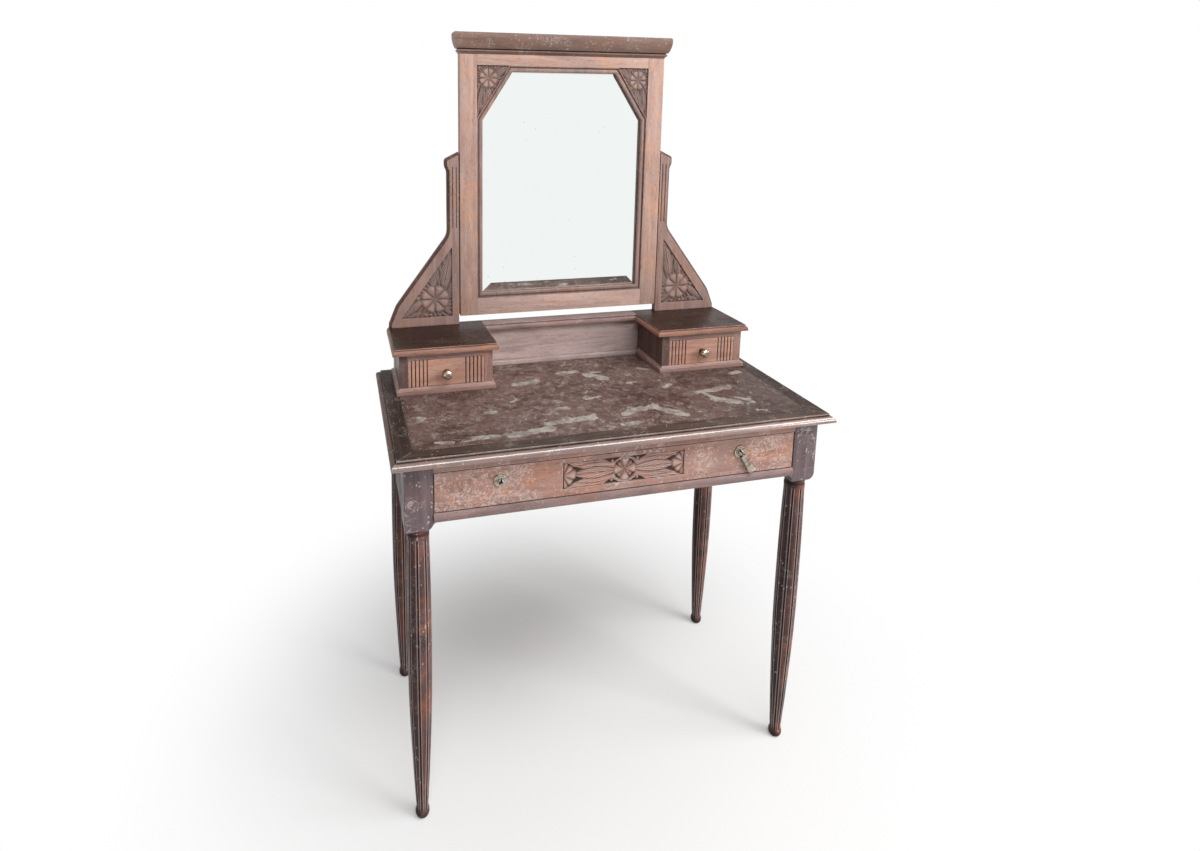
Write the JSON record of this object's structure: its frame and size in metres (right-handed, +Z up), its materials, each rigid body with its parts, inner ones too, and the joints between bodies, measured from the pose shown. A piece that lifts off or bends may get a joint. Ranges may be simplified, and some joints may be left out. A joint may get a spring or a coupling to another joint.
{
  "type": "poudreuse dressing table",
  "caption": "Small dressing table: marble top, apron drawer, two small drawer cabinets and a tilting mirror between carved brackets, on fluted tapering legs.",
  "frame": {"origin": "on the floor, under the middle of the table", "axes": "+X to the right of someone sitting at it, +Y to the back, +Z up"},
  "size_m": [0.846, 0.444, 1.472],
  "materials": {
    "dark_wood": "old dark polish, worn and scuffed",
    "warm_wood": "faded pinkish brown walnut, dull polish",
    "plain_wood": "unpolished",
    "marble": "polished, red-brown with pale patches",
    "brass": "tarnished",
    "steel": "dull",
    "mirror": "silvered glass with a bevelled edge"
  },
  "bodies": {
    "table": {"front_left_leg": "dark_wood", "front_right_leg": "dark_wood", "back_left_leg": "dark_wood", "back_right_leg": "dark_wood", "left_apron": "dark_wood", "right_apron": "dark_wood", "back_apron": "dark_wood", "front_top_rail": "dark_wood", "front_bead_rail": "dark_wood", "top_front_edge": "dark_wood", "top_back_edge": "dark_wood", "top_left_edge": "dark_wood", "top_right_edge": "dark_wood", "left_cabinet_top": "dark_wood", "right_cabinet_top": "dark_wood", "mirror_shelf": "dark_wood", "superstructure_back": "warm_wood", "back_skirting": "warm_wood", "left_bracket": "warm_wood", "right_bracket": "warm_wood", "left_cabinet_base": "warm_wood", "left_cabinet_inner_side": "warm_wood", "left_cabinet_outer_side": "warm_wood", "left_cabinet_rail": "warm_wood", "right_cabinet_base": "warm_wood", "right_cabinet_inner_side": "warm_wood", "right_cabinet_outer_side": "warm_wood", "right_cabinet_rail": "warm_wood", "left_drawer_runner": "plain_wood", "right_drawer_runner": "plain_wood", "drawer_kickers": "plain_wood", "marble_bed": "plain_wood", "marble_top": "marble"},
    "apron_drawer": {"drawer_front": "warm_wood", "drawer_left_side": "plain_wood", "drawer_right_side": "plain_wood", "drawer_back": "plain_wood", "drawer_bottom": "plain_wood", "left_rosette": "brass", "right_rosette": "brass"},
    "drop_pull": {"drop_pull": "brass"},
    "mirror": {"mirror_left_stile": "warm_wood", "mirror_right_stile": "warm_wood", "mirror_bottom_rail": "warm_wood", "mirror_top_rail": "warm_wood", "mirror_cornice": "warm_wood", "mirror_corner_panels": "warm_wood", "mirror_glass": "mirror", "mirror_backboard": "plain_wood", "mirror_pivots": "steel"},
    "left_small_drawer": {"left_small_drawer_front": "warm_wood", "left_small_drawer_sides": "plain_wood", "left_small_drawer_back": "plain_wood", "left_small_drawer_bottom": "plain_wood", "left_knob": "brass"},
    "right_small_drawer": {"right_small_drawer_front": "warm_wood", "right_small_drawer_sides": "plain_wood", "right_small_drawer_back": "plain_wood", "right_small_drawer_bottom": "plain_wood", "right_knob": "brass"}
  },
  "joints": [
    {"name": "apron_drawer_slide", "type": "slide", "parent": "table", "child": "apron_drawer", "axis": [0, -1, 0], "range_m": [0, 0.24]},
    {"name": "drop_pull_swing", "type": "hinge", "parent": "apron_drawer", "child": "drop_pull", "pos_m": [0.2335, -0.2022, 0.6755], "axis": [-0.8387, 0, -0.5446], "range_deg": [0, 80]},
    {"name": "left_small_drawer_slide", "type": "slide", "parent": "table", "child": "left_small_drawer", "axis": [0, -1, 0], "range_m": [0, 0.1]},
    {"name": "right_small_drawer_slide", "type": "slide", "parent": "table", "child": "right_small_drawer", "axis": [0, -1, 0], "range_m": [0, 0.1]},
    {"name": "mirror_tilt", "type": "hinge", "parent": "table", "child": "mirror", "pos_m": [0, 0.212, 1.127], "axis": [1, 0, 0], "range_deg": [-25, 20]}
  ]
}
